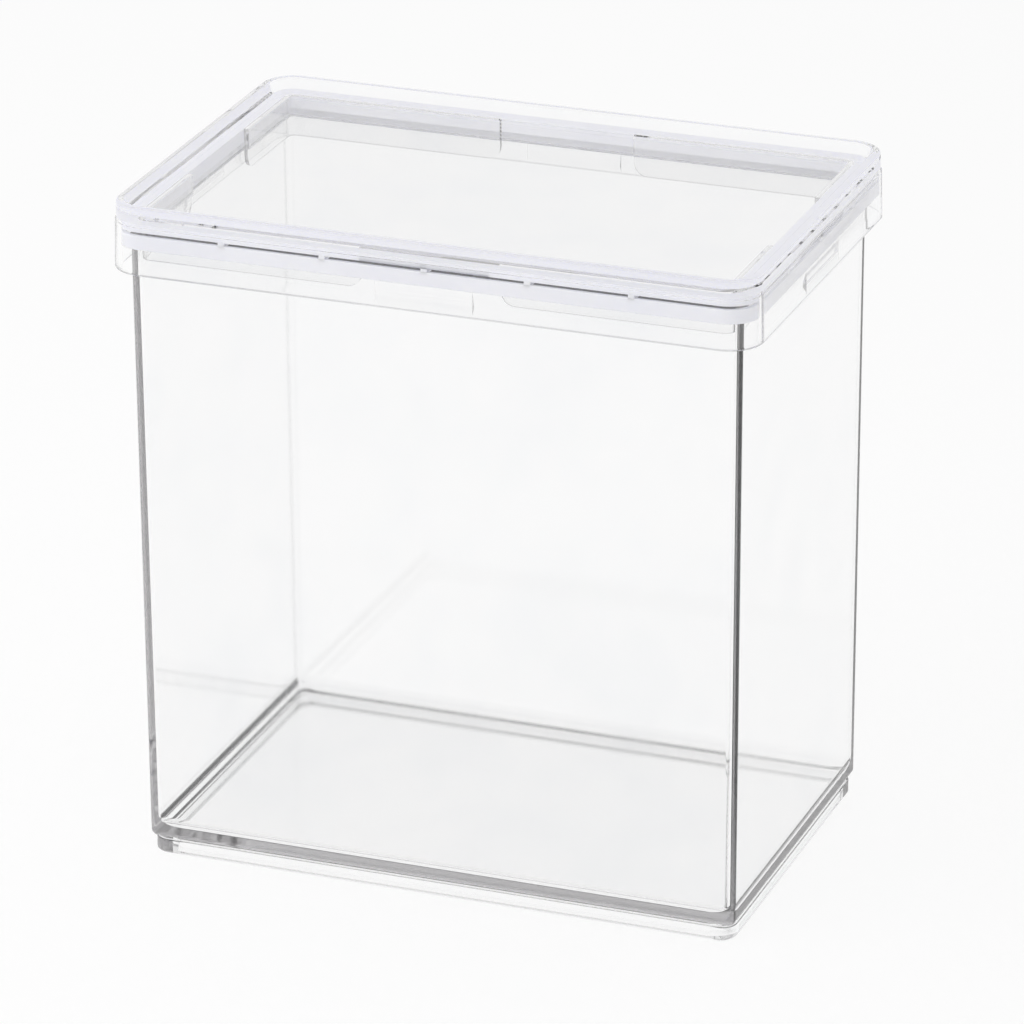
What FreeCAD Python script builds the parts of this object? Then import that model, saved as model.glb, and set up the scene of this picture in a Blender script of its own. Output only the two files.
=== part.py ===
import FreeCAD, Part
import math
import os
import Sketcher

# Clear rectangular storage container with a snap-on lid and a seal ring.
# Millimetres, +Z up, X across the wide front, Y front to back, origin under the middle of the foot.

doc = FreeCAD.newDocument("storage_container")

# Driving sizes: the container first, then the lid, then the seal
SIZES = {
    "body_width": 175.5,
    "body_depth": 110.5,
    "rim_height": 186.2,
    "body_taper": 0.8,
    "body_corner": 3.0,
    "wall": 2.2,
    "mouth_corner": 2.6,
    "floor_height": 6.9,
    "floor_corner": 1.6,
    "foot_height": 4.2,
    "foot_inset": 0.5,
    "foot_corner": 2.4,
    "foot_width": 4.0,
    "foot_recess": 3.5,
    "foot_edge": 0.8,
    "groove_height": 0.5,
    "groove_depth": 1.0,
    "groove_root": 1.4,
    "base_edge": 2.0,
    "flange_out": 2.25,
    "flange_height": 3.2,
    "flange_edge": 0.5,
    "skirt_clearance": 1.2,
    "skirt_wall": 1.8,
    "skirt_drop": 10.7,
    "skirt_flare": 0.35,
    "skirt_edge": 0.6,
    "lid_corner": 10.0,
    "cap_height": 5.6,
    "cap_step": 0.35,
    "cap_edge": 1.0,
    "curb_width": 2.4,
    "curb_slope": 1.4,
    "curb_edge": 0.5,
    "recess_depth": 3.0,
    "panel": 2.0,
    "tab_clearance": 0.5,
    "tab_wall": 1.5,
    "tab_tip_wall": 1.0,
    "tab_step_drop": 2.2,
    "tab_drop": 8.2,
    "tab_gap": 40.0,
    "tab_end": 4.0,
    "catch_length": 28.0,
    "catch_depth": 0.9,
    "catch_rise": 0.8,
    "catch_lower_slope": 2.0,
    "catch_nose": 0.6,
    "catch_upper_slope": 4.0,
    "seal": 2.2,
    "seal_gap": 1.6,
    "seal_clearance": 0.1,
    "seal_lip": 1.5,
    "seal_relief": 1.2,
    "seal_relief_length": 37.0,
    "nub_length": 1.8,
    "nub_width": 2.0,
    "nub_inset": 0.9,
    "nub_margin": 5.0,
}
FRONT_NUB_COUNT = 5
END_NUB_COUNT = 3

# Points closer than this count as one point
TOUCHING = 0.0002

sheet = doc.addObject("Spreadsheet::Sheet", "Sizes")
for row, (alias, value) in enumerate(SIZES.items(), start=1):
    sheet.set(f"A{row}", alias)
    sheet.set(f"B{row}", str(value))
    sheet.setAlias(f"B{row}", alias)
doc.recompute()

# Heights above the table, from the foot up to the lid's curb
WALL_BOTTOM = "Sizes.foot_height + Sizes.groove_height"
RIM = "Sizes.rim_height"
SKIRT_BOTTOM = f"{RIM} - Sizes.skirt_drop"
TAB_BOTTOM = f"{RIM} - Sizes.tab_drop"
TAB_STEP = f"{RIM} - Sizes.tab_step_drop"
SEAL_BOTTOM = f"{RIM} + Sizes.seal_gap"
PANEL_BOTTOM = f"{SEAL_BOTTOM} + Sizes.seal"
PANEL_TOP = f"{PANEL_BOTTOM} + Sizes.panel"
LID_TOP = f"{PANEL_TOP} + Sizes.recess_depth"
CAP_BOTTOM = f"{LID_TOP} - Sizes.cap_height"

# Plan outlines, as signed sizes added up outward from the container's outer wall at the rim
WALL_FOOT = ["-body_taper"]
FOOT = WALL_FOOT + ["-foot_inset"]
GROOVE = FOOT + ["-groove_depth"]
FOOT_INSIDE = FOOT + ["-foot_width"]
WALL_RIM = []
MOUTH = ["-wall"]
FLANGE = ["flange_out"]
SKIRT_INSIDE = FLANGE + ["skirt_clearance"]
SKIRT = SKIRT_INSIDE + ["skirt_wall"]
CAP = SKIRT + ["-skirt_flare", "-cap_step"]
CURB_CREST = CAP + ["-curb_width"]
TAB = MOUTH + ["-tab_clearance"]
TAB_INSIDE = TAB + ["-tab_wall"]
TIP_INSIDE = TAB + ["-tab_tip_wall"]
SEAL_OUTSIDE = SKIRT_INSIDE + ["-seal_clearance"]
SEAL_INSIDE = TAB + ["seal_clearance"]
SEAL_LIP = SEAL_INSIDE + ["seal_lip"]
NUB_OUTSIDE = FLANGE + ["-nub_inset"]
NUB_INSIDE = NUB_OUTSIDE + ["-nub_width"]


def size(alias):
    return float(sheet.get(alias))


def amount(terms):
    return sum(-size(term[1:]) if term.startswith("-") else size(term) for term in terms)


def expression(terms):
    signed = [f"- Sizes.{term[1:]}" if term.startswith("-") else f"+ Sizes.{term}" for term in terms]
    return " ".join(["0"] + signed)


def negative(terms):
    return [term[1:] if term.startswith("-") else f"-{term}" for term in terms]


def lid_corner(outline_terms):
    # The lid's corners share one centre, so each radius follows its outline's offset.
    return ["lid_corner"] + outline_terms + negative(SKIRT)


def tab_corner(outline_terms):
    # The tabs and the seal's inner edge round the mouth's corner the same way.
    return ["mouth_corner", "tab_clearance"] + outline_terms + negative(TAB)


def origin_plane(body, role):
    return next(item for item in body.Origin.OriginFeatures if item.Role == role)


def new_sketch(body, name, role, height=None):
    sketch = body.newObject("Sketcher::SketchObject", name)
    sketch.AttachmentSupport = [(origin_plane(body, role), "")]
    sketch.MapMode = "FlatFace"
    if height:
        sketch.setExpression("AttachmentOffset.Base.z", height)
    return sketch


def bind(sketch, constraint, name, expression):
    index = sketch.addConstraint(constraint)
    sketch.renameConstraint(index, name)
    sketch.setExpression(f"Constraints.{name}", expression)


def rounded_rectangle(sketch, offset, radius, prefix):
    # Four sides and four tangent corner arcs, centred on the origin.
    half_x = size("body_width") / 2 + amount(offset)
    half_y = size("body_depth") / 2 + amount(offset)
    turn = amount(radius)
    spots = [(half_x, -half_y), (half_x, half_y), (-half_x, half_y), (-half_x, -half_y)]
    sides = []
    arcs = []
    for index in range(4):
        start = FreeCAD.Vector(*spots[index - 1])
        end = FreeCAD.Vector(*spots[index])
        after = FreeCAD.Vector(*spots[(index + 1) % 4])
        along = (end - start).normalize() * turn
        onward = (after - end).normalize() * turn
        sides.append(sketch.addGeometry(Part.LineSegment(start + along, end - along)))
        circle = Part.Circle(end - along + onward, FreeCAD.Vector(0, 0, 1), turn)
        arc = Part.ArcOfCircle(circle, (index - 1) * math.pi / 2, index * math.pi / 2)
        arcs.append(sketch.addGeometry(arc))
    for index in range(4):
        after = sides[(index + 1) % 4]
        level = "Vertical" if index % 2 else "Horizontal"
        sketch.addConstraint(Sketcher.Constraint("Tangent", sides[index], 2, arcs[index], 1))
        sketch.addConstraint(Sketcher.Constraint("Tangent", arcs[index], 2, after, 1))
        sketch.addConstraint(Sketcher.Constraint(level, sides[index]))
    for arc in arcs[1:]:
        sketch.addConstraint(Sketcher.Constraint("Equal", arcs[0], arc))
    sketch.addConstraint(Sketcher.Constraint("Symmetric", sides[0], 1, sides[2], 1, -1, 1))
    across = Sketcher.Constraint("DistanceX", sides[3], 1, sides[1], 1, 2 * half_x)
    deep = Sketcher.Constraint("DistanceY", sides[0], 1, sides[2], 1, 2 * half_y)
    corner = Sketcher.Constraint("Radius", arcs[0], turn)
    bind(sketch, across, f"{prefix}_width", f"Sizes.body_width + 2 * ({expression(offset)})")
    bind(sketch, deep, f"{prefix}_depth", f"Sizes.body_depth + 2 * ({expression(offset)})")
    bind(sketch, corner, f"{prefix}_corner", expression(radius))


def polygon(sketch, points):
    # Closed outline through points whose two coordinates are expressions; it starts as a circle's polygon.
    count = len(points)
    reach = size("body_corner")
    starts = []
    for index in range(count):
        turn = 2 * math.pi * index / count
        starts.append(FreeCAD.Vector(reach * math.cos(turn), reach * math.sin(turn), 0))
    lines = []
    for index in range(count):
        lines.append(sketch.addGeometry(Part.LineSegment(starts[index], starts[(index + 1) % count])))
    for index, (across, upward) in enumerate(points):
        line = lines[index]
        sketch.addConstraint(Sketcher.Constraint("Coincident", lines[index - 1], 2, line, 1))
        first = Sketcher.Constraint("DistanceX", -1, 1, line, 1, starts[index].x)
        second = Sketcher.Constraint("DistanceY", -1, 1, line, 1, starts[index].y)
        bind(sketch, first, f"across_{index}", across)
        bind(sketch, second, f"upward_{index}", upward)


def rectangle(sketch, low_x, high_x, low_y, high_y):
    polygon(sketch, [(low_x, low_y), (high_x, low_y), (high_x, high_y), (low_x, high_y)])


def outline(body, name, height, offset, radius):
    sketch = new_sketch(body, name, "XY_Plane", height)
    rounded_rectangle(sketch, offset, radius, "edge")
    return sketch


def ring(body, name, height, outside, inside, corner_rule, inside_rule):
    sketch = new_sketch(body, name, "XY_Plane", height)
    rounded_rectangle(sketch, outside, corner_rule(outside), "outside")
    rounded_rectangle(sketch, inside, inside_rule(inside), "inside")
    return sketch


def taper_angle(terms, height):
    # Draft angle that moves a wall sideways by the given sizes over a height.
    return f"atan(({expression(terms)}) / ({height}))"


def pad(body, name, sketch, length, downward=False, taper="0", side="One side"):
    feature = body.newObject("PartDesign::Pad", name)
    feature.Profile = sketch
    feature.SideType = side
    feature.Reversed = downward
    feature.setExpression("Length", length)
    feature.setExpression("TaperAngle", taper)
    doc.recompute()
    return feature


def pocket(body, name, sketch, length, upward=False, taper="0"):
    before = body.Shape.Volume
    feature = body.newObject("PartDesign::Pocket", name)
    feature.Profile = sketch
    feature.Reversed = upward
    feature.setExpression("Length", length)
    feature.setExpression("TaperAngle", taper)
    doc.recompute()
    if body.Shape.Volume >= before:
        raise RuntimeError(f"{name} removes nothing")
    return feature


def mirrored(body, name, original, role):
    feature = body.newObject("PartDesign::Mirrored", name)
    feature.Originals = [original]
    feature.MirrorPlane = (origin_plane(body, role), [""])
    body.Tip = feature
    doc.recompute()
    return feature


def edges_on(feature, sketch, lift=0.0):
    # Names of the edges that follow a sketch's outline, raised by lift.
    wires = sketch.Shape.copy()
    wires.translate(FreeCAD.Vector(0, 0, lift))
    names = []
    for index, edge in enumerate(feature.Shape.Edges, start=1):
        middle = edge.valueAt((edge.FirstParameter + edge.LastParameter) / 2)
        if wires.distToShape(Part.Vertex(middle))[0] < TOUCHING:
            names.append(f"Edge{index}")
    return names


def edges_at(feature, height):
    # Names of the edges that lie flat at one height.
    names = []
    for index, edge in enumerate(feature.Shape.Edges, start=1):
        ends = [edge.valueAt(edge.FirstParameter), edge.valueAt(edge.LastParameter)]
        if all(abs(point.z - height) < TOUCHING for point in ends):
            names.append(f"Edge{index}")
    return names


def fillet(body, name, base, edges, radius):
    feature = body.newObject("PartDesign::Fillet", name)
    feature.Base = (base, edges)
    feature.setExpression("Radius", radius)
    doc.recompute()
    return feature


# Container walls: a tapered block with a rounded bottom edge
container = doc.addObject("PartDesign::Body", "container_body")
wall_rim = outline(container, "WallRim", RIM, WALL_RIM, ["body_corner"])
wall_height = f"{RIM} - ({WALL_BOTTOM})"
wall_draft = taper_angle(WALL_FOOT, wall_height)
walls = pad(container, "Walls", wall_rim, wall_height, downward=True, taper=wall_draft)
fillet(container, "BaseEdge", walls, edges_at(walls, walls.Shape.BoundBox.ZMin), "Sizes.base_edge")

# Foot ring under the walls, set off by a fine groove
groove = outline(container, "Groove", "Sizes.foot_height", GROOVE, ["foot_corner"])
pad(container, "GrooveRoot", groove, "Sizes.groove_root")
foot = outline(container, "Foot", "0", FOOT, ["foot_corner"])
foot_pad = pad(container, "FootPad", foot, "Sizes.foot_height")
fillet(container, "FootEdge", foot_pad, edges_at(foot_pad, 0.0), "Sizes.foot_edge")
foot_inside = outline(container, "FootInside", "0", FOOT_INSIDE, ["foot_corner"])
pocket(container, "FootRecess", foot_inside, "Sizes.foot_recess", upward=True)

# Rim flange that the lid's catches close under
flange = outline(container, "Flange", RIM, FLANGE, lid_corner(FLANGE))
flange_pad = pad(container, "RimFlange", flange, "Sizes.flange_height", downward=True)
fillet(container, "FlangeEdge", flange_pad, edges_on(flange_pad, flange), "Sizes.flange_edge")

# Storage hollow with rounded floor corners
mouth = outline(container, "Mouth", RIM, MOUTH, ["mouth_corner"])
hollow = pocket(container, "Hollow", mouth, f"{RIM} - Sizes.floor_height", taper=wall_draft)
fillet(container, "FloorCorner", hollow, edges_at(hollow, size("floor_height")), "Sizes.floor_corner")

# Lid shell: a flared skirt and a slightly narrower cap with a rounded crest
lid = doc.addObject("PartDesign::Body", "lid")
skirt = outline(lid, "SkirtBottom", SKIRT_BOTTOM, SKIRT, lid_corner(SKIRT))
skirt_height = f"{CAP_BOTTOM} - ({SKIRT_BOTTOM})"
skirt_pad = pad(lid, "Skirt", skirt, skirt_height, taper=taper_angle(["-skirt_flare"], skirt_height))
fillet(lid, "SkirtEdge", skirt_pad, edges_on(skirt_pad, skirt), "Sizes.skirt_edge")
cap = outline(lid, "CapOutline", CAP_BOTTOM, CAP, lid_corner(CAP))
cap_pad = pad(lid, "Cap", cap, "Sizes.cap_height")
fillet(lid, "CapEdge", cap_pad, edges_on(cap_pad, cap, size("cap_height")), "Sizes.cap_edge")

# Stacking recess inside the curb, and the space under the lid
crest = outline(lid, "CurbCrest", LID_TOP, CURB_CREST, lid_corner(CURB_CREST))
curb_draft = taper_angle(["-curb_slope"], "Sizes.recess_depth")
recess = pocket(lid, "StackingRecess", crest, "Sizes.recess_depth", taper=curb_draft)
fillet(lid, "CurbEdge", recess, edges_on(recess, crest), "Sizes.curb_edge")
skirt_inside = outline(lid, "SkirtInside", SKIRT_BOTTOM, SKIRT_INSIDE, lid_corner(SKIRT_INSIDE))
pocket(lid, "LidHollow", skirt_inside, f"{PANEL_BOTTOM} - ({SKIRT_BOTTOM})", upward=True)

# Corner tabs that guide the lid into the mouth: a ring with a thinner tip, open at the middle of each side
tab_root = ring(lid, "TabRoot", TAB_STEP, TAB, TAB_INSIDE, tab_corner, tab_corner)
pad(lid, "TabRing", tab_root, f"{PANEL_BOTTOM} - ({TAB_STEP})")
tab_tip = ring(lid, "TabTip", TAB_BOTTOM, TAB, TIP_INSIDE, tab_corner, tab_corner)
pad(lid, "TabTipRing", tab_tip, f"{TAB_STEP} - ({TAB_BOTTOM})")
half_gap = "Sizes.tab_gap / 2"
half_mouth_x = "Sizes.body_width / 2 - Sizes.wall"
half_mouth_y = "Sizes.body_depth / 2 - Sizes.wall"
tab_height = f"{PANEL_BOTTOM} - ({TAB_BOTTOM})"
long_gap = new_sketch(lid, "LongSideGap", "XY_Plane", PANEL_BOTTOM)
rectangle(long_gap, f"-{half_gap}", half_gap, f"-({half_mouth_y})", half_mouth_y)
pocket(lid, "LongSideGapCut", long_gap, tab_height)
short_gap = new_sketch(lid, "ShortSideGap", "XY_Plane", PANEL_BOTTOM)
rectangle(short_gap, f"-({half_mouth_x})", half_mouth_x, f"-{half_gap}", half_gap)
gap_cut = pocket(lid, "ShortSideGapCut", short_gap, tab_height)
tip_edges = []
for name in edges_at(gap_cut, amount(["rim_height", "-tab_drop"])):
    edge = gap_cut.Shape.getElement(name)
    if abs(edge.Length - size("tab_tip_wall")) < TOUCHING:
        tip_edges.append(name)
fillet(lid, "TabEnds", gap_cut, tip_edges, "Sizes.tab_end")

# Wedge catches on the skirt's inner face, one in the middle of each side
catch_low = f"{SKIRT_BOTTOM} + Sizes.catch_rise"
catch_nose_low = f"{catch_low} + Sizes.catch_lower_slope"
catch_nose_high = f"{catch_nose_low} + Sizes.catch_nose"
catch_high = f"{catch_nose_high} + Sizes.catch_upper_slope"
catch_sides = [
    ("BackCatch", "YZ_Plane", "Sizes.body_depth", "FrontCatch", "XZ_Plane"),
    ("RightCatch", "XZ_Plane", "Sizes.body_width", "LeftCatch", "YZ_Plane"),
]
for name, plane, span, opposite, mirror in catch_sides:
    face = f"{span} / 2 + {expression(SKIRT_INSIDE)}"
    root = f"{face} + Sizes.skirt_wall / 2"
    tip = f"{face} - Sizes.catch_depth"
    profile = new_sketch(lid, f"{name}Profile", plane)
    polygon(profile, [
        (root, catch_low),
        (root, catch_high),
        (face, catch_high),
        (tip, catch_nose_high),
        (tip, catch_nose_low),
        (face, catch_low),
    ])
    catch = pad(lid, name, profile, "Sizes.catch_length", side="Symmetric")
    mirrored(lid, opposite, catch, mirror)

# Seal: a flat ring with a lip along its inner edge that closes on the rim
gasket = doc.addObject("PartDesign::Body", "lid_gasket")
flat = ring(gasket, "FlatRing", SEAL_BOTTOM, SEAL_OUTSIDE, SEAL_INSIDE, lid_corner, tab_corner)
pad(gasket, "Flat", flat, "Sizes.seal")
lip = ring(gasket, "LipRing", RIM, SEAL_LIP, SEAL_INSIDE, tab_corner, tab_corner)
pad(gasket, "Lip", lip, "Sizes.seal_gap")

# Thinner stretch of the ring at the middle of each side
half_relief = "Sizes.seal_relief_length / 2"
back_relief = new_sketch(gasket, "BackReliefOutline", "XY_Plane", SEAL_BOTTOM)
back_low = f"Sizes.body_depth / 2 + {expression(SEAL_LIP)}"
back_high = f"Sizes.body_depth / 2 + {expression(SKIRT_INSIDE)}"
rectangle(back_relief, f"-{half_relief}", half_relief, back_low, back_high)
relief = pocket(gasket, "BackRelief", back_relief, "Sizes.seal_relief", upward=True)
mirrored(gasket, "FrontRelief", relief, "XZ_Plane")
right_relief = new_sketch(gasket, "RightReliefOutline", "XY_Plane", SEAL_BOTTOM)
right_low = f"Sizes.body_width / 2 + {expression(SEAL_LIP)}"
right_high = f"Sizes.body_width / 2 + {expression(SKIRT_INSIDE)}"
rectangle(right_relief, right_low, right_high, f"-{half_relief}", half_relief)
relief = pocket(gasket, "RightRelief", right_relief, "Sizes.seal_relief", upward=True)
mirrored(gasket, "LeftRelief", relief, "YZ_Plane")

# Stand-off nubs under the ring, in an even row along each side
half_nub = "Sizes.nub_length / 2"
nub_rows = [
    ("BackNub", "Sizes.body_depth", "Sizes.body_width", FRONT_NUB_COUNT, 1),
    ("FrontNub", "Sizes.body_depth", "Sizes.body_width", FRONT_NUB_COUNT, -1),
    ("RightNub", "Sizes.body_width", "Sizes.body_depth", END_NUB_COUNT, 1),
    ("LeftNub", "Sizes.body_width", "Sizes.body_depth", END_NUB_COUNT, -1),
]
for name, span, length, count, side in nub_rows:
    reach = f"{length} + 2 * ({expression(SKIRT)}) - 2 * Sizes.nub_margin"
    row_length = f"({reach}) * {count - 1} / {count + 1}"
    first_low = f"-({row_length}) / 2 - {half_nub}"
    first_high = f"-({row_length}) / 2 + {half_nub}"
    inner = f"{side} * ({span} / 2 + {expression(NUB_INSIDE)})"
    outer = f"{side} * ({span} / 2 + {expression(NUB_OUTSIDE)})"
    nub_sketch = new_sketch(gasket, f"{name}Outline", "XY_Plane", RIM)
    if count == FRONT_NUB_COUNT:
        rectangle(nub_sketch, first_low, first_high, inner, outer)
        axis = "H_Axis"
    else:
        rectangle(nub_sketch, inner, outer, first_low, first_high)
        axis = "V_Axis"
    nub = pad(gasket, name, nub_sketch, "Sizes.seal_gap + Sizes.seal_relief")
    pattern = gasket.newObject("PartDesign::LinearPattern", f"{name}Row")
    pattern.Originals = [nub]
    pattern.Direction = (nub_sketch, [axis])
    pattern.setExpression("Length", row_length)
    pattern.Occurrences = count
    gasket.Tip = pattern
    doc.recompute()

# Nothing is written unless every object is sound
for item in doc.Objects:
    if "Invalid" in item.State or "Error" in item.State:
        raise RuntimeError(f"{item.Label} failed: {item.State}")
pieces = [container, lid, gasket]
for piece in pieces:
    if piece.Shape.isNull() or not piece.Shape.isValid() or len(piece.Shape.Solids) != 1:
        raise RuntimeError(f"{piece.Label} is not one sound solid")

os.makedirs("parts", exist_ok=True)
for piece in pieces:
    piece.Shape.exportStep(f"parts/{piece.Label}.step")
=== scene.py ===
import math

import bmesh
import bpy
from mathutils import Matrix, Vector


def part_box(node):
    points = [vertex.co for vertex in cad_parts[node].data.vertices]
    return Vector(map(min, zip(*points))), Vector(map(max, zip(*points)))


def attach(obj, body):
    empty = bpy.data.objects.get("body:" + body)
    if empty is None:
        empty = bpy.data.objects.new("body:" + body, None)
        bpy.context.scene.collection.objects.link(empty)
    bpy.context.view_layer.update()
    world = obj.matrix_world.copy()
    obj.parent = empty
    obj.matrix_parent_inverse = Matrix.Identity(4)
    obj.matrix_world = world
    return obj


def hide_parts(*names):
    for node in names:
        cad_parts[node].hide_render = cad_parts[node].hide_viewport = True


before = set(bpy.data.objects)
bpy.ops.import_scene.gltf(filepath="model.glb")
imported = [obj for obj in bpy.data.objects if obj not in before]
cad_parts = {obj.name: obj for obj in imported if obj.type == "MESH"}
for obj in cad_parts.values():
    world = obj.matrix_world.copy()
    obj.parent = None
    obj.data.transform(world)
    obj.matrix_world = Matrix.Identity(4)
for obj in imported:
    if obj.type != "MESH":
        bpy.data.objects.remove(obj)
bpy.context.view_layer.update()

# Container body: one box injection-moulded in clear styrene plastic, with a polished surface.
# Its walls taper to a rounded base, a foot ring set off by a fine groove carries it,
# and a flange round the mouth takes the lid.
BODY_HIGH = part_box("container_body")[1]
RIM = BODY_HIGH.z
FLANGE_OUT = 0.00225
WALL_HALF_X = BODY_HIGH.x - FLANGE_OUT
WALL_HALF_Y = BODY_HIGH.y - FLANGE_OUT
WALL = 0.0022
WALL_TAPER = 0.0008
WALL_CORNER = 0.003
MOUTH_CORNER = 0.001
MOUTH_EDGE = 0.0003
FLANGE_HEIGHT = 0.0032
FLANGE_CORNER = 0.007
FLANGE_EDGE = 0.0005
FLANGE_ROOT = 0.0004
FLOOR_HEIGHT = 0.0069
FLOOR_CORNER = 0.004
FLOOR_PLAN_CORNER = 0.006
BASE_EDGE = 0.002
FOOT_HEIGHT = 0.0042
FOOT_CORNER = 0.0048
FOOT_OUT = -0.0013
FOOT_WIDTH = 0.004
FOOT_EDGE = 0.0008
FOOT_TOP_EDGE = 0.0003
FOOT_RECESS = 0.0035
GROOVE_OUT = -0.0023
GROOVE_HEIGHT = 0.0005
CORNER_STEPS = 16
EDGE_STEPS = 6
SHARP_ANGLE = math.radians(35)
SAME_POINT = 1e-6
CAP_STRIP = -1


def rounded_face(shell, offset, corner, height):
    # One flat rounded rectangle; offset is measured outward from the box's wall at the rim.
    quad = bmesh.ops.create_grid(shell, x_segments=1, y_segments=1, size=1.0)["verts"]
    bmesh.ops.scale(shell, vec=(WALL_HALF_X + offset, WALL_HALF_Y + offset, 1.0), verts=quad)
    bmesh.ops.translate(shell, vec=(0, 0, height), verts=quad)
    turned = bmesh.ops.bevel(
        shell, geom=quad, offset=corner, affect="VERTICES", segments=CORNER_STEPS, profile=0.5, material=-1
    )
    return turned["verts"][0].link_faces[0]


def draw_on(shell, edges, here, there):
    # Extrudes a loop of edges from one station to the next, corner by corner.
    made = bmesh.ops.extrude_edge_only(shell, edges=edges)["geom"]
    verts = {part for part in made if isinstance(part, bmesh.types.BMVert)}
    faces = [part for part in made if isinstance(part, bmesh.types.BMFace)]
    loop = [part for part in made if isinstance(part, bmesh.types.BMEdge) and verts.issuperset(part.verts)]
    for side_x in (-1, 1):
        for side_y in (-1, 1):
            turn = [vert for vert in verts if vert.co.x * side_x > 0 and vert.co.y * side_y > 0]
            centres = []
            for offset, corner, height in (here, there):
                out = offset - corner
                centres.append(Vector((side_x * (WALL_HALF_X + out), side_y * (WALL_HALF_Y + out), height)))
            growth = there[1] / here[1]
            about_centre = Matrix.Translation(-centres[0])
            bmesh.ops.scale(shell, vec=(growth, growth, 1.0), space=about_centre, verts=turn)
            bmesh.ops.translate(shell, vec=centres[1] - centres[0], verts=turn)
    return loop, faces


def loft(shell, stations, closed=False):
    # Draws one station into the next; each strip of faces carries its number in the strip layer.
    strip_layer = shell.faces.layers.int.new("strip")
    first = rounded_face(shell, *stations[0])
    first[strip_layer] = CAP_STRIP
    loop = list(first.edges)
    if closed:
        bmesh.ops.delete(shell, geom=[first], context="FACES_ONLY")
        stations = stations + stations[:1]
    for index in range(len(stations) - 1):
        loop, faces = draw_on(shell, loop, stations[index], stations[index + 1])
        for face in faces:
            face[strip_layer] = index
    if closed:
        bmesh.ops.remove_doubles(shell, verts=shell.verts, dist=SAME_POINT)
    else:
        last = bmesh.ops.contextual_create(shell, geom=loop)["faces"][0]
        last[strip_layer] = CAP_STRIP
    return strip_layer


def arc(centre_offset, centre_height, radius, first, last, corner_at):
    # Stations along an edge's rounding, between two angles in degrees; 0 points outward and 90 up.
    stations = []
    for step in range(EDGE_STEPS + 1):
        angle = math.radians(first + (last - first) * step / EDGE_STEPS)
        offset = centre_offset + radius * math.cos(angle)
        stations.append((offset, corner_at(offset), centre_height + radius * math.sin(angle)))
    return stations


def make_piece(name, shell):
    # Finishes a mesh: outward faces, smooth curves and flat walls that stay flat.
    bmesh.ops.recalc_face_normals(shell, faces=shell.faces)
    mesh = bpy.data.meshes.new(name)
    shell.to_mesh(mesh)
    shell.free()
    mesh.shade_smooth()
    mesh.set_sharp_from_angle(angle=SHARP_ANGLE)
    piece = bpy.data.objects.new(name, mesh)
    bpy.context.scene.collection.objects.link(piece)
    flatten = piece.modifiers.new("flat_walls", "WEIGHTED_NORMAL")
    flatten.keep_sharp = True
    return piece


def mouth_corner_at(offset):
    return MOUTH_CORNER + offset + WALL


def wall_corner_at(offset):
    return WALL_CORNER + offset


def flange_corner_at(offset):
    return FLANGE_CORNER + offset - FLANGE_OUT


def foot_corner_at(offset):
    return FOOT_CORNER + offset - FOOT_OUT


def wall_shift(height):
    # How far the taper has moved the wall inward at a height.
    return -WALL_TAPER * (RIM - height) / (RIM - FOOT_HEIGHT - GROOVE_HEIGHT)


body_shell = bmesh.new()
body_stations = []
floor_top = FLOOR_HEIGHT + FLOOR_CORNER
inside_low = wall_shift(floor_top) - WALL
for step in range(EDGE_STEPS + 1):
    turn = math.pi / 2 * step / EDGE_STEPS
    inset = FLOOR_CORNER * (1 - math.sin(turn))
    rise = FLOOR_CORNER * (1 - math.cos(turn))
    corner = MOUTH_CORNER + (FLOOR_PLAN_CORNER - MOUTH_CORNER) * inset / FLOOR_CORNER
    body_stations.append((inside_low - inset, corner, FLOOR_HEIGHT + rise))
body_stations += arc(-WALL + MOUTH_EDGE, RIM - MOUTH_EDGE, MOUTH_EDGE, 180, 90, mouth_corner_at)
flange_low = RIM - FLANGE_HEIGHT
flange_edge_out = FLANGE_OUT - FLANGE_EDGE
body_stations += arc(flange_edge_out, RIM - FLANGE_EDGE, FLANGE_EDGE, 90, 0, flange_corner_at)
body_stations += arc(flange_edge_out, flange_low + FLANGE_EDGE, FLANGE_EDGE, 0, -90, flange_corner_at)
root_height = flange_low - FLANGE_ROOT
root_offset = wall_shift(root_height) + FLANGE_ROOT
body_stations += arc(root_offset, root_height, FLANGE_ROOT, 90, 180, wall_corner_at)
base_height = FOOT_HEIGHT + GROOVE_HEIGHT + BASE_EDGE
base_offset = wall_shift(base_height) - BASE_EDGE
groove_angle = -math.degrees(math.acos((GROOVE_OUT - base_offset) / BASE_EDGE))
body_stations += arc(base_offset, base_height, BASE_EDGE, 0, groove_angle, wall_corner_at)
body_stations.append((GROOVE_OUT, foot_corner_at(GROOVE_OUT), FOOT_HEIGHT))
foot_top_out = FOOT_OUT - FOOT_TOP_EDGE
body_stations += arc(foot_top_out, FOOT_HEIGHT - FOOT_TOP_EDGE, FOOT_TOP_EDGE, 90, 0, foot_corner_at)
body_stations += arc(FOOT_OUT - FOOT_EDGE, FOOT_EDGE, FOOT_EDGE, 0, -90, foot_corner_at)
foot_inside = FOOT_OUT - FOOT_WIDTH
body_stations.append((foot_inside, FOOT_CORNER, 0.0))
body_stations.append((foot_inside, FOOT_CORNER, FOOT_RECESS))
loft(body_shell, body_stations)
container_body = make_piece("clear_box", body_shell)


def link(tree, output, socket):
    tree.links.new(output, socket)


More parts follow.
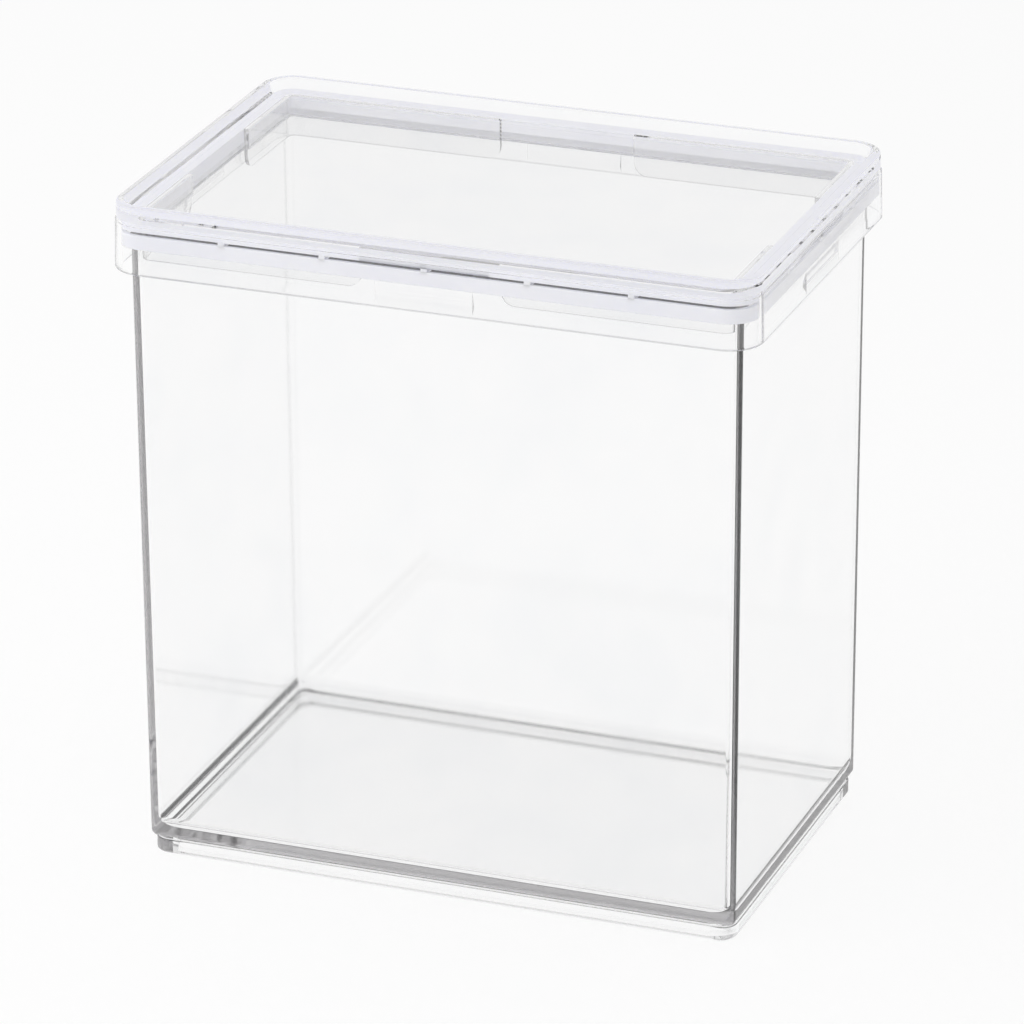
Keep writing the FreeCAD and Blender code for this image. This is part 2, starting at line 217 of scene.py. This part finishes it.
def marks_group():
    # Handling marks shared by the clear mouldings: faint haze, hairline scratches and mould waviness.
    tree = bpy.data.node_groups.new("handling_marks", "ShaderNodeTree")
    tree.interface.new_socket("Haze Scale", in_out="INPUT", socket_type="NodeSocketFloat")
    tree.interface.new_socket("Scratch Scale", in_out="INPUT", socket_type="NodeSocketFloat")
    tree.interface.new_socket("Haze", in_out="OUTPUT", socket_type="NodeSocketFloat")
    tree.interface.new_socket("Scratches", in_out="OUTPUT", socket_type="NodeSocketFloat")
    tree.interface.new_socket("Waviness", in_out="OUTPUT", socket_type="NodeSocketFloat")
    entry = tree.nodes.new("NodeGroupInput")
    leave = tree.nodes.new("NodeGroupOutput")
    place = tree.nodes.new("ShaderNodeTexCoord")

    cloud = tree.nodes.new("ShaderNodeTexNoise")
    cloud.inputs["Detail"].default_value = 5.0
    cloud.inputs["Roughness"].default_value = 0.6
    link(tree, place.outputs["Object"], cloud.inputs["Vector"])
    link(tree, entry.outputs["Haze Scale"], cloud.inputs["Scale"])
    patches = tree.nodes.new("ShaderNodeMapRange")
    patches.inputs["From Min"].default_value = 0.45
    patches.inputs["From Max"].default_value = 0.75
    link(tree, cloud.outputs["Fac"], patches.inputs["Value"])
    link(tree, patches.outputs["Result"], leave.inputs["Haze"])

    stretch = tree.nodes.new("ShaderNodeMapping")
    stretch.inputs["Rotation"].default_value = (0.4, 0.7, 0.9)
    stretch.inputs["Scale"].default_value = (1.0, 1.0, 0.06)
    link(tree, place.outputs["Object"], stretch.inputs["Vector"])
    hairs = tree.nodes.new("ShaderNodeTexNoise")
    hairs.inputs["Detail"].default_value = 2.0
    link(tree, stretch.outputs["Vector"], hairs.inputs["Vector"])
    link(tree, entry.outputs["Scratch Scale"], hairs.inputs["Scale"])
    thin = tree.nodes.new("ShaderNodeMapRange")
    thin.inputs["From Min"].default_value = 0.7
    thin.inputs["From Max"].default_value = 0.78
    link(tree, hairs.outputs["Fac"], thin.inputs["Value"])
    link(tree, thin.outputs["Result"], leave.inputs["Scratches"])

    swell = tree.nodes.new("ShaderNodeTexNoise")
    swell.inputs["Scale"].default_value = 28.0
    swell.inputs["Detail"].default_value = 1.0
    link(tree, place.outputs["Object"], swell.inputs["Vector"])
    link(tree, swell.outputs["Fac"], leave.inputs["Waviness"])
    return tree


handling_marks = marks_group()


def clear_plastic(name, haze_scale, dullness, tint, depth_tone):
    # Clear plastic; haze dulls it in patches, its surface is very slightly wavy and its depth greys it.
    material = bpy.data.materials.new(name)
    material.use_nodes = True
    tree = material.node_tree
    plastic = tree.nodes["Principled BSDF"]
    plastic.inputs["IOR"].default_value = 1.57
    plastic.inputs["Transmission Weight"].default_value = 1.0
    marks = tree.nodes.new("ShaderNodeGroup")
    marks.node_tree = handling_marks
    marks.inputs["Haze Scale"].default_value = haze_scale
    marks.inputs["Scratch Scale"].default_value = 900.0

    colour = tree.nodes.new("ShaderNodeMix")
    colour.data_type = "RGBA"
    colour.inputs[6].default_value = (1.0, 1.0, 1.0, 1.0)
    colour.inputs[7].default_value = (*tint, 1.0)
    link(tree, marks.outputs["Haze"], colour.inputs[0])
    link(tree, colour.outputs[2], plastic.inputs["Base Color"])

    dull = tree.nodes.new("ShaderNodeMath")
    dull.operation = "MULTIPLY_ADD"
    dull.inputs[1].default_value = 0.02
    dull.inputs[2].default_value = dullness
    link(tree, marks.outputs["Haze"], dull.inputs[0])
    scuffed = tree.nodes.new("ShaderNodeMath")
    scuffed.operation = "MULTIPLY_ADD"
    scuffed.inputs[1].default_value = 0.06
    link(tree, marks.outputs["Scratches"], scuffed.inputs[0])
    link(tree, dull.outputs[0], scuffed.inputs[2])
    link(tree, scuffed.outputs[0], plastic.inputs["Roughness"])

    ripple = tree.nodes.new("ShaderNodeBump")
    ripple.inputs["Strength"].default_value = 0.05
    ripple.inputs["Distance"].default_value = 0.0004
    link(tree, marks.outputs["Waviness"], ripple.inputs["Height"])
    link(tree, ripple.outputs["Normal"], plastic.inputs["Normal"])

    path = tree.nodes.new("ShaderNodeLightPath")
    open_air = tree.nodes.new("ShaderNodeBsdfTransparent")
    open_air.inputs["Color"].default_value = (0.98, 0.98, 0.98, 1.0)
    lamp_lit = tree.nodes.new("ShaderNodeMixShader")
    link(tree, path.outputs["Is Shadow Ray"], lamp_lit.inputs[0])
    link(tree, plastic.outputs[0], lamp_lit.inputs[1])
    link(tree, open_air.outputs[0], lamp_lit.inputs[2])
    room_lit = tree.nodes.new("ShaderNodeMixShader")
    link(tree, path.outputs["Is Diffuse Ray"], room_lit.inputs[0])
    link(tree, lamp_lit.outputs[0], room_lit.inputs[1])
    link(tree, open_air.outputs[0], room_lit.inputs[2])
    depth = tree.nodes.new("ShaderNodeVolumeAbsorption")
    depth.inputs["Color"].default_value = (0.4, 0.375, 0.395, 1.0)
    depth.inputs["Density"].default_value = depth_tone
    surface = tree.nodes["Material Output"]
    link(tree, room_lit.outputs[0], surface.inputs["Surface"])
    link(tree, depth.outputs[0], surface.inputs["Volume"])
    return material


box_plastic = clear_plastic(
    "clear_box_plastic", haze_scale=30.0, dullness=0.045, tint=(0.975, 0.98, 0.985), depth_tone=5.5
)
container_body.data.materials.append(box_plastic)
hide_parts("container_body")
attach(container_body, "container")

# Lid: one moulding in the same clear plastic, pushed down over the flange.
# A raised curb frames the sunken stacking panel, a skirt hangs round it with a wedge catch
# on each side, and four corner tabs guide it into the mouth.
LID_LOW, LID_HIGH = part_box("lid")
LID_TOP = LID_HIGH.z
SKIRT_LOW = LID_LOW.z
SKIRT_OUT = LID_HIGH.x - WALL_HALF_X
SKIRT_INSIDE = 0.00345
SKIRT_FLARE = 0.00035
SKIRT_EDGE = 0.0006
LID_CORNER = 0.01
CAP_HEIGHT = 0.0056
CAP_STEP = 0.00035
CAP_EDGE = 0.001
CURB_WIDTH = 0.0024
CURB_SLOPE = 0.0014
CURB_EDGE = 0.0005
RECESS = 0.003
PANEL = 0.002
TAB_OUT = -0.0027
TAB_WALL = 0.0015
TAB_TIP_WALL = 0.001
TAB_CORNER = 0.0031
TAB_STEP_DROP = 0.0022
TAB_DROP = 0.0082
TAB_GAP = 0.04
TAB_END = 0.004
CATCH_LENGTH = 0.028
CATCH_DEPTH = 0.0009
CATCH_RISES = (0.0008, 0.0028, 0.0034, 0.0074)


def lid_corner_at(offset):
    return LID_CORNER + offset - SKIRT_OUT


def tab_corner_at(offset):
    return TAB_CORNER + offset - TAB_OUT


def faces_of(shell, strip_layer, strips):
    return [face for face in shell.faces if face[strip_layer] in strips]


def cut_across(shell, faces, axis, place):
    # Divides some faces along the plane where one coordinate has a given value.
    parts = list(faces)
    parts += {edge for face in faces for edge in face.edges}
    parts += {vert for face in faces for vert in face.verts}
    point = Vector((0, 0, 0))
    point[axis] = place
    normal = Vector((0, 0, 0))
    normal[axis] = 1
    bmesh.ops.bisect_plane(shell, geom=parts, dist=SAME_POINT, plane_co=point, plane_no=normal)


def pull(shell, faces, move):
    # Extrudes a patch of faces and returns the moved faces.
    made = bmesh.ops.extrude_face_region(shell, geom=faces)["geom"]
    bmesh.ops.delete(shell, geom=faces, context="FACES")
    verts = [part for part in made if isinstance(part, bmesh.types.BMVert)]
    bmesh.ops.translate(shell, vec=move, verts=verts)
    return [part for part in made if isinstance(part, bmesh.types.BMFace)]


lid_shell = bmesh.new()
panel_top = LID_TOP - RECESS
ceiling = panel_top - PANEL
cap_low = LID_TOP - CAP_HEIGHT
cap_out = SKIRT_OUT - SKIRT_FLARE - CAP_STEP
crest = cap_out - CURB_WIDTH
lid_stations = [(crest - CURB_SLOPE, lid_corner_at(crest - CURB_SLOPE), panel_top)]
slope_angle = math.degrees(math.atan2(RECESS, CURB_SLOPE)) + 90
lid_stations += arc(crest + CURB_EDGE, LID_TOP - CURB_EDGE, CURB_EDGE, slope_angle, 90, lid_corner_at)
lid_stations += arc(cap_out - CAP_EDGE, LID_TOP - CAP_EDGE, CAP_EDGE, 90, 0, lid_corner_at)
lid_stations.append((cap_out, lid_corner_at(cap_out), cap_low))
skirt_top = SKIRT_OUT - SKIRT_FLARE
lid_stations.append((skirt_top, lid_corner_at(skirt_top), cap_low))
lid_stations += arc(SKIRT_OUT - SKIRT_EDGE, SKIRT_LOW + SKIRT_EDGE, SKIRT_EDGE, 0, -90, lid_corner_at)
lid_stations += arc(SKIRT_INSIDE + SKIRT_EDGE, SKIRT_LOW + SKIRT_EDGE, SKIRT_EDGE, -90, -180, lid_corner_at)
catch_first = len(lid_stations)
for rise in CATCH_RISES:
    lid_stations.append((SKIRT_INSIDE, lid_corner_at(SKIRT_INSIDE), SKIRT_LOW + rise))
lid_stations.append((SKIRT_INSIDE, lid_corner_at(SKIRT_INSIDE), ceiling))
tab_first = len(lid_stations)
for inset in (0.0, TAB_TIP_WALL, TAB_WALL):
    lid_stations.append((TAB_OUT - inset, tab_corner_at(TAB_OUT - inset), ceiling))
lid_strip = loft(lid_shell, lid_stations)

tab_strips = {tab_first, tab_first + 1}
catch_strips = {catch_first, catch_first + 1, catch_first + 2}
for axis in (0, 1):
    for side in (-1, 1):
        cut_across(lid_shell, faces_of(lid_shell, lid_strip, tab_strips), axis, side * TAB_GAP / 2)
        cut_across(lid_shell, faces_of(lid_shell, lid_strip, catch_strips), axis, side * CATCH_LENGTH / 2)
tab_faces = []
for face in faces_of(lid_shell, lid_strip, tab_strips):
    centre = face.calc_center_median()
    if min(abs(centre.x), abs(centre.y)) > TAB_GAP / 2:
        tab_faces.append(face)
root_faces = pull(lid_shell, tab_faces, (0, 0, RIM - TAB_STEP_DROP - ceiling))
tip_faces = [face for face in root_faces if face[lid_strip] == tab_first]
pull(lid_shell, tip_faces, (0, 0, TAB_STEP_DROP - TAB_DROP))
tip_ends = []
for edge in lid_shell.edges:
    at_tip = all(abs(vert.co.z - RIM + TAB_DROP) < SAME_POINT for vert in edge.verts)
    across_x = all(abs(abs(vert.co.x) - TAB_GAP / 2) < SAME_POINT for vert in edge.verts)
    across_y = all(abs(abs(vert.co.y) - TAB_GAP / 2) < SAME_POINT for vert in edge.verts)
    if at_tip and (across_x or across_y):
        tip_ends.append(edge)
bmesh.ops.bevel(
    lid_shell, geom=tip_ends, offset=TAB_END, affect="EDGES", segments=EDGE_STEPS, profile=0.5, material=-1
)
nose_low = SKIRT_LOW + CATCH_RISES[1]
nose_high = SKIRT_LOW + CATCH_RISES[2]
for axis in (0, 1):
    for side in (-1, 1):
        patch = []
        for face in faces_of(lid_shell, lid_strip, catch_strips):
            centre = face.calc_center_median()
            if centre[axis] * side > 0 and abs(centre[1 - axis]) < CATCH_LENGTH / 2:
                patch.append(face)
        nose = set()
        for face in pull(lid_shell, patch, (0, 0, 0)):
            for vert in face.verts:
                if nose_low - SAME_POINT < vert.co.z < nose_high + SAME_POINT:
                    nose.add(vert)
        inward = Vector((0, 0, 0))
        inward[axis] = -side * CATCH_DEPTH
        bmesh.ops.translate(lid_shell, vec=inward, verts=list(nose))
bmesh.ops.remove_doubles(lid_shell, verts=lid_shell.verts, dist=SAME_POINT)
lid = make_piece("clear_lid", lid_shell)
lid_plastic = clear_plastic(
    "clear_lid_plastic", haze_scale=42.0, dullness=0.004, tint=(0.97, 0.975, 0.985), depth_tone=3.0
)
lid.data.materials.append(lid_plastic)
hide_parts("lid")
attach(lid, "lid")

# Lid gasket: a soft ring moulded in translucent white silicone, held in the channel under the lid.
# A lip along its inner edge closes on the rim, small nubs stand it off the flange and carry
# a band round the flange's edge, and it is thinner at the middle of each side.
GASKET_LOW, GASKET_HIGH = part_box("lid_gasket")
SEAL_PRESS = 0.00005
SEAL_OUT = GASKET_HIGH.x - WALL_HALF_X
SEAL_INSIDE = -0.0026
SEAL_LIP = 0.0015
SEAL_TOP = GASKET_HIGH.z + SEAL_PRESS
SEAL_LOW = GASKET_LOW.z - SEAL_PRESS
LIP_HEIGHT = 0.0016
SEAL_FLAT = GASKET_LOW.z + LIP_HEIGHT
RELIEF_LENGTH = 0.037
RELIEF_DEPTH = 0.0012
NUB_OUT = 0.00325
NUB_IN = -0.00065
NUB_LENGTH = 0.0018
BAND_INSIDE = 0.00235
BAND_RISE = 0.0006
BAND_TOP = RIM + BAND_RISE
BAND_HEIGHT = 0.0041
BAND_EDGE = 0.0003
FRONT_NUB_SPACING = 0.02933
END_NUB_SPACING = 0.02775
NUBS = ((1, FRONT_NUB_SPACING, range(-2, 3)), (0, END_NUB_SPACING, range(-1, 2)))

gasket_shell = bmesh.new()
lip_out = SEAL_INSIDE + SEAL_LIP
gasket_stations = [
    (SEAL_OUT, lid_corner_at(SEAL_OUT), SEAL_TOP),
    (SEAL_OUT, lid_corner_at(SEAL_OUT), SEAL_FLAT),
    (NUB_OUT, lid_corner_at(NUB_OUT), SEAL_FLAT),
    (NUB_IN, tab_corner_at(NUB_IN), SEAL_FLAT),
    (lip_out, tab_corner_at(lip_out), SEAL_FLAT),
    (lip_out, tab_corner_at(lip_out), SEAL_LOW),
    (SEAL_INSIDE, tab_corner_at(SEAL_INSIDE), SEAL_LOW),
    (SEAL_INSIDE, tab_corner_at(SEAL_INSIDE), SEAL_TOP),
]
gasket_strip = loft(gasket_shell, gasket_stations, closed=True)
OUTER_FLAT, NUB_FLAT, INNER_FLAT = 1, 2, 3
for axis in (0, 1):
    for side in (-1, 1):
        flat_faces = faces_of(gasket_shell, gasket_strip, {OUTER_FLAT, NUB_FLAT, INNER_FLAT})
        cut_across(gasket_shell, flat_faces, axis, side * RELIEF_LENGTH / 2)
for side_axis, spacing, places in NUBS:
    along = 1 - side_axis
    for place in places:
        for end in (-1, 1):
            cut = spacing * place + end * NUB_LENGTH / 2
            cut_across(gasket_shell, faces_of(gasket_shell, gasket_strip, {NUB_FLAT}), along, cut)
nub_faces = []
relief_faces = []
for face in faces_of(gasket_shell, gasket_strip, {OUTER_FLAT, NUB_FLAT, INNER_FLAT}):
    centre = face.calc_center_median()
    is_nub = False
    for side_axis, spacing, places in NUBS:
        on_side = abs(centre[side_axis]) > (WALL_HALF_X, WALL_HALF_Y)[side_axis] + NUB_IN
        near = any(abs(centre[1 - side_axis] - spacing * place) < NUB_LENGTH / 2 for place in places)
        if on_side and near and face[gasket_strip] == NUB_FLAT:
            is_nub = True
    if is_nub:
        nub_faces.append(face)
    elif min(abs(centre.x), abs(centre.y)) < RELIEF_LENGTH / 2:
        relief_faces.append(face)
pull(gasket_shell, nub_faces, (0, 0, SEAL_LOW - SEAL_FLAT))
pull(gasket_shell, relief_faces, (0, 0, RELIEF_DEPTH))
bmesh.ops.remove_doubles(gasket_shell, verts=gasket_shell.verts, dist=SAME_POINT)

band_low = BAND_TOP - BAND_HEIGHT
band_edge_out = SEAL_OUT - BAND_EDGE
band_stations = [(BAND_INSIDE, lid_corner_at(BAND_INSIDE), band_low)]
band_stations += arc(band_edge_out, band_low + BAND_EDGE, BAND_EDGE, -90, 0, lid_corner_at)
band_stations += arc(band_edge_out, BAND_TOP - BAND_EDGE, BAND_EDGE, 0, 90, lid_corner_at)
band_stations.append((BAND_INSIDE, lid_corner_at(BAND_INSIDE), BAND_TOP))
band_shell = bmesh.new()
loft(band_shell, band_stations, closed=True)
band_mesh = bpy.data.meshes.new("band")
band_shell.to_mesh(band_mesh)
band_shell.free()
gasket_shell.from_mesh(band_mesh)
bpy.data.meshes.remove(band_mesh)
gasket = make_piece("silicone_gasket", gasket_shell)


def silicone(name):
    # Milky silicone with a satin skin; its colour drifts a little and dust dulls it in specks.
    material = bpy.data.materials.new(name)
    material.use_nodes = True
    tree = material.node_tree
    rubber = tree.nodes["Principled BSDF"]
    rubber.inputs["IOR"].default_value = 1.41
    rubber.inputs["Subsurface Weight"].default_value = 0.35
    rubber.inputs["Subsurface Radius"].default_value = (0.0012, 0.0012, 0.0014)
    rubber.inputs["Subsurface Scale"].default_value = 1.0
    place = tree.nodes.new("ShaderNodeTexCoord")
    drift = tree.nodes.new("ShaderNodeTexNoise")
    drift.inputs["Scale"].default_value = 60.0
    drift.inputs["Detail"].default_value = 3.0
    link(tree, place.outputs["Object"], drift.inputs["Vector"])
    colour = tree.nodes.new("ShaderNodeMix")
    colour.data_type = "RGBA"
    colour.inputs[6].default_value = (0.83, 0.83, 0.895, 1.0)
    colour.inputs[7].default_value = (0.89, 0.895, 0.945, 1.0)
    link(tree, drift.outputs["Fac"], colour.inputs[0])
    link(tree, colour.outputs[2], rubber.inputs["Base Color"])
    grain = tree.nodes.new("ShaderNodeTexNoise")
    grain.inputs["Scale"].default_value = 2200.0
    link(tree, place.outputs["Object"], grain.inputs["Vector"])
    satin = tree.nodes.new("ShaderNodeMapRange")
    satin.inputs["To Min"].default_value = 0.35
    satin.inputs["To Max"].default_value = 0.55
    link(tree, grain.outputs["Fac"], satin.inputs["Value"])
    link(tree, satin.outputs["Result"], rubber.inputs["Roughness"])
    skin = tree.nodes.new("ShaderNodeBump")
    skin.inputs["Strength"].default_value = 0.15
    skin.inputs["Distance"].default_value = 0.00005
    link(tree, grain.outputs["Fac"], skin.inputs["Height"])
    link(tree, skin.outputs["Normal"], rubber.inputs["Normal"])
    return material


gasket.data.materials.append(silicone("gasket_silicone"))
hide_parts("lid_gasket")
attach(gasket, "lid")

# Studio: a wide white table in a white room, with one large soft lamp over the left front.
# The table and the low part of the room look white to the eye and through the plastic,
# and the darker ceiling draws the edges; rays caught long inside the plastic see both darker, a painted
# shade on its edges.
TABLE_HALF = 4.0
TABLE_DROP = 0.0001
TABLE_WHITE = 0.95
TABLE_GLOW_SHARE = 0.7
ROOM_LIGHT = 1.0
CEILING_START = 0.45
CEILING_FULL = 0.75
CEILING_TONE = 0.45
FIRST_FADE = 5.0
LAST_FADE = 15.0
DEEP_PAINTED_SHADE = 0.68
LAMP_PLACE = (-0.9, -0.8, 1.5)
LAMP_AIM = (0.0, 0.0, 0.1)
LAMP_WIDTH = 1.2
LAMP_POWER = 10.0

table_shell = bmesh.new()
bmesh.ops.create_grid(table_shell, x_segments=1, y_segments=1, size=TABLE_HALF)
bmesh.ops.translate(table_shell, vec=(0, 0, -TABLE_DROP), verts=table_shell.verts)
table_mesh = bpy.data.meshes.new("table")
table_shell.to_mesh(table_mesh)
table_shell.free()
table = bpy.data.objects.new("table", table_mesh)
bpy.context.scene.collection.objects.link(table)


def seen_rays(tree):
    # One where a ray comes from the eye, a reflection or the inside of the plastic.
    path = tree.nodes.new("ShaderNodeLightPath")
    either = tree.nodes.new("ShaderNodeMath")
    either.operation = "MAXIMUM"
    link(tree, path.outputs["Is Camera Ray"], either.inputs[0])
    link(tree, path.outputs["Is Glossy Ray"], either.inputs[1])
    through = tree.nodes.new("ShaderNodeMath")
    through.operation = "MAXIMUM"
    link(tree, either.outputs[0], through.inputs[0])
    link(tree, path.outputs["Is Transmission Ray"], through.inputs[1])
    seen = tree.nodes.new("ShaderNodeMath")
    seen.operation = "SUBTRACT"
    seen.use_clamp = True
    link(tree, through.outputs[0], seen.inputs[0])
    link(tree, path.outputs["Diffuse Depth"], seen.inputs[1])
    return path, seen.outputs[0]


def depth_fade(tree, path):
    # Painted shade for the plastic's edges: white for a straight look through the walls, darker for light
    # caught inside the plastic's edges.
    fade = tree.nodes.new("ShaderNodeMapRange")
    fade.inputs["From Min"].default_value = FIRST_FADE
    fade.inputs["From Max"].default_value = LAST_FADE
    fade.inputs["To Min"].default_value = 1.0
    fade.inputs["To Max"].default_value = DEEP_PAINTED_SHADE
    link(tree, path.outputs["Ray Depth"], fade.inputs["Value"])
    return fade.outputs["Result"]


table_white = bpy.data.materials.new("table_white")
table_white.use_nodes = True
tree = table_white.node_tree
tree.nodes.clear()
paper = tree.nodes.new("ShaderNodeBsdfDiffuse")
paper.inputs["Color"].default_value = (TABLE_WHITE, TABLE_WHITE, TABLE_WHITE, 1.0)
glow = tree.nodes.new("ShaderNodeEmission")
share = tree.nodes.new("ShaderNodeMath")
share.operation = "MULTIPLY"
share.inputs[1].default_value = TABLE_GLOW_SHARE
path, seen = seen_rays(tree)
link(tree, seen, share.inputs[0])
# The table's glow darkens for rays caught deep in the plastic: painted shade on the plastic's edges.
link(tree, depth_fade(tree, path), glow.inputs["Strength"])
mixed = tree.nodes.new("ShaderNodeMixShader")
link(tree, share.outputs[0], mixed.inputs[0])
link(tree, paper.outputs[0], mixed.inputs[1])
link(tree, glow.outputs[0], mixed.inputs[2])
surface = tree.nodes.new("ShaderNodeOutputMaterial")
link(tree, mixed.outputs[0], surface.inputs["Surface"])
table.data.materials.append(table_white)

room = bpy.data.worlds.new("room")
bpy.context.scene.world = room
room.use_nodes = True
tree = room.node_tree
tree.nodes.clear()
direction = tree.nodes.new("ShaderNodeTexCoord")
parts = tree.nodes.new("ShaderNodeSeparateXYZ")
link(tree, direction.outputs["Generated"], parts.inputs[0])
ceiling_fade = tree.nodes.new("ShaderNodeMapRange")
ceiling_fade.interpolation_type = "SMOOTHSTEP"
ceiling_fade.inputs["From Min"].default_value = CEILING_START
ceiling_fade.inputs["From Max"].default_value = CEILING_FULL
ceiling_fade.inputs["To Min"].default_value = 1.0
ceiling_fade.inputs["To Max"].default_value = CEILING_TONE
link(tree, parts.outputs["Z"], ceiling_fade.inputs["Value"])
path, seen = seen_rays(tree)
wall_tone = tree.nodes.new("ShaderNodeMath")
wall_tone.operation = "MAXIMUM"
link(tree, ceiling_fade.outputs["Result"], wall_tone.inputs[0])
link(tree, path.outputs["Is Camera Ray"], wall_tone.inputs[1])
faded = tree.nodes.new("ShaderNodeMath")
faded.operation = "MULTIPLY"
link(tree, wall_tone.outputs[0], faded.inputs[0])
# The room darkens for rays caught deep in the plastic: painted shade on the plastic's edges.
link(tree, depth_fade(tree, path), faded.inputs[1])
strength = tree.nodes.new("ShaderNodeMix")
strength.data_type = "FLOAT"
strength.inputs[2].default_value = ROOM_LIGHT
link(tree, seen, strength.inputs[0])
link(tree, faded.outputs[0], strength.inputs[3])
back = tree.nodes.new("ShaderNodeBackground")
link(tree, strength.outputs[0], back.inputs["Strength"])
sky = tree.nodes.new("ShaderNodeOutputWorld")
link(tree, back.outputs[0], sky.inputs["Surface"])

soft_lamp = bpy.data.lights.new("soft_lamp", "AREA")
soft_lamp.size = LAMP_WIDTH
soft_lamp.energy = LAMP_POWER
lamp = bpy.data.objects.new("soft_lamp", soft_lamp)
lamp.location = LAMP_PLACE
lamp.rotation_euler = (Vector(LAMP_PLACE) - Vector(LAMP_AIM)).to_track_quat("Z", "Y").to_euler()
lamp.visible_glossy = False
lamp.visible_transmission = False
bpy.context.scene.collection.objects.link(lamp)

# Camera: a long lens a little above the container, looking at its front from the right.
# The angles, distance and focal length come from fitting the container's edges to the photograph.
PHOTO_WIDTH = 1024
SENSOR = 36.0
FOCAL_PIXELS = 6424
AZIMUTH = math.radians(20.74)
ELEVATION = math.radians(22.49)
ROLL = math.radians(-0.33)
DISTANCE = 1.797
AIM_RIGHT = 0.00224
AIM_HEIGHT = 0.09467
LIGHT_BOUNCES = 32

backward = Vector((
    math.sin(AZIMUTH) * math.cos(ELEVATION),
    -math.cos(AZIMUTH) * math.cos(ELEVATION),
    math.sin(ELEVATION),
))
level_right = Vector((math.cos(AZIMUTH), math.sin(AZIMUTH), 0.0))
level_up = backward.cross(level_right)
right = math.cos(ROLL) * level_right + math.sin(ROLL) * level_up
up = backward.cross(right)
lens = bpy.data.cameras.new("camera")
lens.sensor_width = SENSOR
lens.lens = FOCAL_PIXELS * SENSOR / PHOTO_WIDTH
camera = bpy.data.objects.new("camera", lens)
turned = Matrix((right, up, backward)).transposed().to_4x4()
aim = level_right * AIM_RIGHT + Vector((0, 0, AIM_HEIGHT))
camera.matrix_world = Matrix.Translation(aim + backward * DISTANCE) @ turned
bpy.context.scene.collection.objects.link(camera)
bpy.context.scene.camera = camera
bpy.context.scene.view_settings.view_transform = "Standard"
bpy.context.scene.cycles.max_bounces = LIGHT_BOUNCES
bpy.context.scene.cycles.transmission_bounces = LIGHT_BOUNCES
bpy.context.scene.cycles.glossy_bounces = LIGHT_BOUNCES
